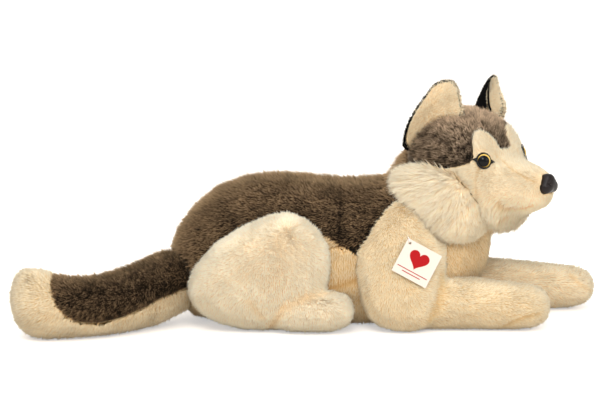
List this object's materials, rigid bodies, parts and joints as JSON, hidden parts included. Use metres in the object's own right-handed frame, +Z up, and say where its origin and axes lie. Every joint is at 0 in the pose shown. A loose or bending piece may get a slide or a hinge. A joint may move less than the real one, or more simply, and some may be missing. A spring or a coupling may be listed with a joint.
{
  "type": "plush wolf",
  "caption": "Soft stuffed wolf lying on its belly with its head turned to one side, front legs reaching forward and a long tail behind.",
  "frame": {"origin": "middle of the outer size at the floor that the wolf lies on", "axes": "+X from the tail to the front paws, +Y to the wolf's left, +Z up"},
  "size_m": [0.5964, 0.2334, 0.2515],
  "materials": {
    "dark_plush": "long dark brown pile with tan tips",
    "cream_plush": "short cream pile",
    "black_plush": "short black pile",
    "ear_lining": "short pale cream pile",
    "black_felt": "thin black felt",
    "eye_plastic": "glossy black with a gold ring",
    "nose_plastic": "satin dark brown",
    "white_plastic": "plain moulded",
    "card": "printed paper card"
  },
  "bodies": {
    "root": {"torso_back": "dark_plush", "torso_belly": "cream_plush", "front_leg_right": "cream_plush", "front_leg_left": "cream_plush", "hind_leg_right": "cream_plush", "hind_leg_left": "cream_plush", "tail_top": "dark_plush", "tail_underside": "cream_plush", "head_crown": "dark_plush", "head_face": "cream_plush", "cheek_ruff_right": "cream_plush", "cheek_ruff_left": "cream_plush", "ear_right_back": "black_plush", "ear_right_inner": "ear_lining", "ear_left_back": "black_plush", "ear_left_inner": "ear_lining", "eye_right": "eye_plastic", "eye_left": "eye_plastic", "eye_backing_right": "black_felt", "eye_backing_left": "black_felt", "eye_washer_right": "white_plastic", "eye_washer_left": "white_plastic", "nose": "nose_plastic", "nose_washer": "white_plastic", "hang_tag": "card", "tag_fastener": "white_plastic"}
  },
  "joints": []
}
